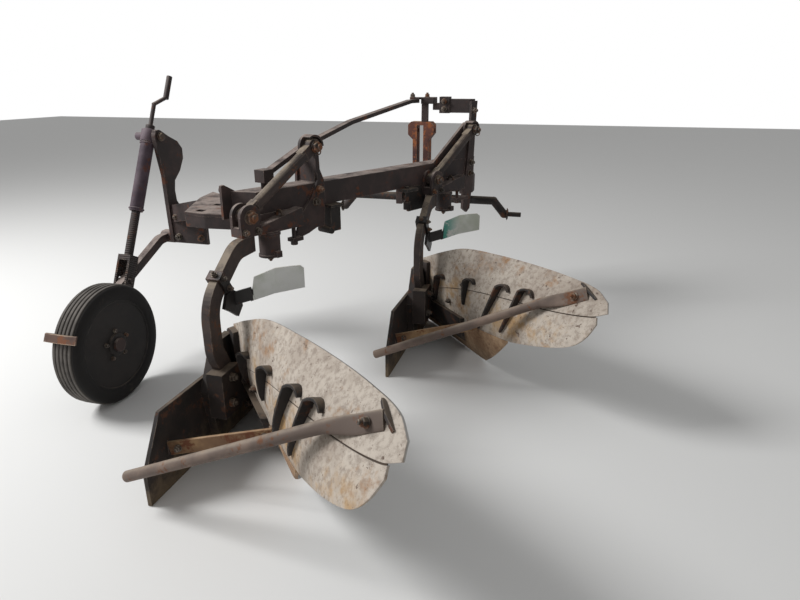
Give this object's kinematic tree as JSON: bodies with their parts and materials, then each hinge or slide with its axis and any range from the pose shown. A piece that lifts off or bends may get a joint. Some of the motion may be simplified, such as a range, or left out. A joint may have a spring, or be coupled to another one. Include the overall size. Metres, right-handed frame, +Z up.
{
  "type": "mounted two-furrow moldboard plough",
  "caption": "Mounted moldboard plough: diagonal hollow beam, curved legs with two-piece moldboards and tall landsides, headstock for three-point linkage, and a depth wheel on a screw jack.",
  "frame": {"origin": "on the ground, on the sole of the rear landside, under the head of the rear leg", "axes": "+Y is the direction of travel, +X is the ploughed side to the right, +Z is up"},
  "size_m": [1.805, 2.0248, 1.0737],
  "materials": {
    "frame_steel": "weathered dark red-brown paint over rust",
    "worn_steel": "bare worn steel with light rust",
    "board_steel": "dull beige-grey plate with ochre rust stains",
    "share_steel": "rusted orange-brown edge steel",
    "dark_steel": "near-black weathered steel",
    "mast_rust": "orange-brown rusted paint",
    "silver_plate": "dull silver plate with remnants of green paint",
    "jack_paint": "worn purple-red paint",
    "rubber": "matte black ribbed rubber",
    "wheel_steel": "dark dull painted disc"
  },
  "bodies": {
    "plough": {"main_beam": "frame_steel", "beam_brackets": "dark_steel", "rear_tower": "frame_steel", "front_tower": "frame_steel", "headstock_crossmember": "frame_steel", "headstock_mast": "mast_rust", "headstock_top_bar": "frame_steel", "cross_shaft": "dark_steel", "backstay": "frame_steel", "rear_carrier": "frame_steel", "front_carrier": "frame_steel", "rear_strut": "worn_steel", "front_strut": "worn_steel", "rear_leg": "worn_steel", "front_leg": "worn_steel", "rear_frog": "dark_steel", "front_frog": "dark_steel", "rear_landside": "dark_steel", "front_landside": "dark_steel", "rear_share": "share_steel", "front_share": "share_steel", "rear_moldboard_upper": "board_steel", "front_moldboard_upper": "board_steel", "rear_moldboard_lower": "board_steel", "front_moldboard_lower": "board_steel", "rear_board_brackets": "worn_steel", "front_board_brackets": "worn_steel", "rear_tube_stay": "worn_steel", "front_tube_stay": "worn_steel", "rear_flat_stay": "share_steel", "front_flat_stay": "share_steel", "rear_trashboard": "silver_plate", "front_trashboard": "silver_plate", "wheel_carrier": "frame_steel", "wheel_horn": "frame_steel"},
    "wheel_arm": {"wheel_arm": "frame_steel", "wheel_scraper": "worn_steel"},
    "depth_wheel": {"depth_wheel": "wheel_steel", "depth_wheel_tyre": "rubber"},
    "jack_tube": {"jack_tube": "jack_paint", "jack_crank": "frame_steel"},
    "jack_rod": {"jack_rod": "worn_steel"}
  },
  "joints": [
    {"name": "wheel_arm_lift", "type": "hinge", "parent": "plough", "child": "wheel_arm", "pos_m": [-0.618, 0.52, 0.44], "axis": [-1, 0, 0], "range_deg": [-5, 22]},
    {"name": "wheel_spin", "type": "hinge", "parent": "wheel_arm", "child": "depth_wheel", "pos_m": [-0.487, -0.05, 0.206], "axis": [1, 0, 0], "continuous": true},
    {"name": "jack_tilt", "type": "hinge", "parent": "plough", "child": "jack_tube", "pos_m": [-0.618, 0.478, 0.848], "axis": [-1, 0, 0], "range_deg": [-2.5, 9]},
    {"name": "jack_slide", "type": "slide", "parent": "jack_tube", "child": "jack_rod", "axis": [0, 0.4479, 0.8941], "range_m": [-0.025, 0.095]}
  ],
  "couplings": [
    {"joint": "jack_tilt", "follows": "wheel_arm_lift", "ratio": 0.38},
    {"joint": "jack_slide", "follows": "wheel_arm_lift", "m_per_rad": 0.24}
  ]
}
